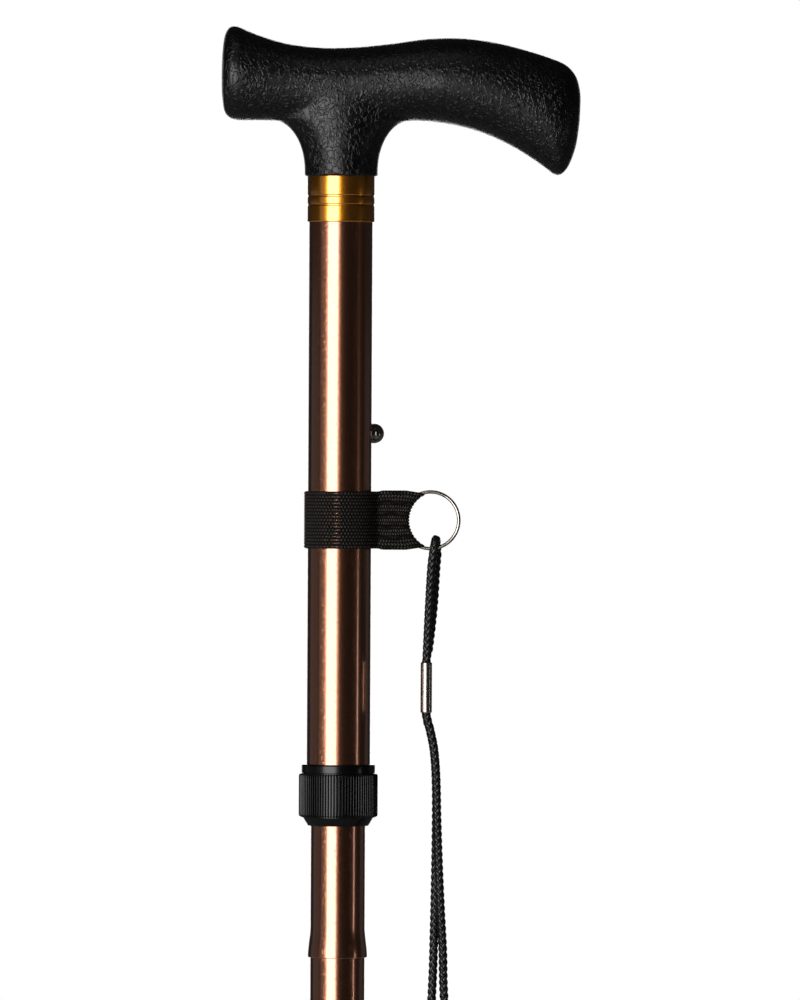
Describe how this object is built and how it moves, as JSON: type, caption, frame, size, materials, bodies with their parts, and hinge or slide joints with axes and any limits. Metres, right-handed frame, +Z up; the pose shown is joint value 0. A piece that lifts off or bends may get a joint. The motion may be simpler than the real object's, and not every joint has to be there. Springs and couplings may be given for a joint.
{
  "type": "folding cane",
  "caption": "Folding walking cane: moulded T handle, telescoping shaft with push button and lock nut, pull-apart belled sections on an elastic cord, rubber tip and wrist loop.",
  "frame": {"origin": "middle of the rubber tip's underside, on the shaft's axis", "axes": "+Z up along the shaft, +X along the handle's long arm, +Y away from the viewer of the picture"},
  "size_m": [0.1249, 0.036, 0.8435],
  "materials": {
    "black_plastic": "leather grain",
    "nut_plastic": "satin",
    "gold_metal": "polished",
    "bronze_metal": "anodised, fine flake",
    "bare_metal": "satin",
    "nickel": "polished",
    "dark_steel": "satin",
    "grey_plastic": "satin",
    "black_webbing": "ribbed knit",
    "black_cord": "braided",
    "black_rubber": "matt"
  },
  "bodies": {
    "upper": {"handle": "black_plastic", "gold_collar": "gold_metal", "upper_tube": "bronze_metal", "lock_bush": "nut_plastic"},
    "clamp": {"clamp_ring": "grey_plastic"},
    "nut": {"lock_nut": "nut_plastic"},
    "inner": {"inner_tube": "bronze_metal", "tube_glide": "grey_plastic", "button_spring": "dark_steel", "cord_anchor": "grey_plastic", "elastic_cord": "black_cord"},
    "button": {"snap_button": "dark_steel"},
    "section_2": {"section_2_tube": "bronze_metal", "section_2_insert": "bare_metal"},
    "section_3": {"section_3_tube": "bronze_metal", "section_3_insert": "bare_metal"},
    "section_4": {"section_4_tube": "bronze_metal", "section_4_insert": "bare_metal", "cord_end_plug": "grey_plastic", "rubber_tip": "black_rubber", "tip_washer": "dark_steel"},
    "strap": {"strap_band": "black_webbing"},
    "tab": {"strap_tab": "black_webbing"},
    "ring": {"split_ring": "nickel"},
    "lanyard": {"wrist_cord": "black_cord", "cord_ferrule": "nickel"}
  },
  "joints": [
    {"name": "strap_swivel", "type": "hinge", "parent": "upper", "child": "strap", "pos_m": [0, 0, 0.6717], "axis": [0, 0, 1], "continuous": true},
    {"name": "tab_swing", "type": "hinge", "parent": "strap", "child": "tab", "pos_m": [0.01515, 0, 0.6717], "axis": [0, 0, 1], "range_deg": [-70, 70]},
    {"name": "ring_turn", "type": "hinge", "parent": "tab", "child": "ring", "pos_m": [0.03165, 0, 0.6717], "axis": [0, 1, 0], "continuous": true},
    {"name": "cord_swing", "type": "hinge", "parent": "tab", "child": "lanyard", "pos_m": [0.03355, 0, 0.66204], "axis": [0.9812, 0, 0.1929], "range_deg": [-40, 40]},
    {"name": "nut_travel", "type": "slide", "parent": "upper", "child": "clamp", "axis": [0, 0, -1], "range_m": [0, 0.002]},
    {"name": "nut_turn", "type": "hinge", "parent": "clamp", "child": "nut", "pos_m": [0, 0, 0.5757], "axis": [0, 0, -1], "range_deg": [0, 360]},
    {"name": "height_adjust", "type": "slide", "parent": "upper", "child": "inner", "axis": [0, 0, -1], "range_m": [0, 0.09], "deforming": ["strap_band"]},
    {"name": "button_press", "type": "slide", "parent": "inner", "child": "button", "axis": [-0.9397, -0.342, 0], "range_m": [0, 0.0065], "stiffness_N_per_m": 800, "springref_m": -0.004, "deforming": ["button_spring"]},
    {"name": "pull_2", "type": "slide", "parent": "inner", "child": "section_2", "axis": [0, 0, -1], "range_m": [0, 0.06], "stiffness_N_per_m": 300, "springref_m": -0.08, "deforming": ["elastic_cord"]},
    {"name": "pull_3", "type": "slide", "parent": "section_2", "child": "section_3", "axis": [0, 0, -1], "range_m": [0, 0.06], "stiffness_N_per_m": 300, "springref_m": -0.08, "deforming": ["elastic_cord"]},
    {"name": "pull_4", "type": "slide", "parent": "section_3", "child": "section_4", "axis": [0, 0, -1], "range_m": [0, 0.06], "stiffness_N_per_m": 300, "springref_m": -0.08, "deforming": ["elastic_cord"]}
  ],
  "couplings": [
    {"joint": "nut_travel", "follows": "nut_turn", "m_per_rad": 0.000318}
  ]
}
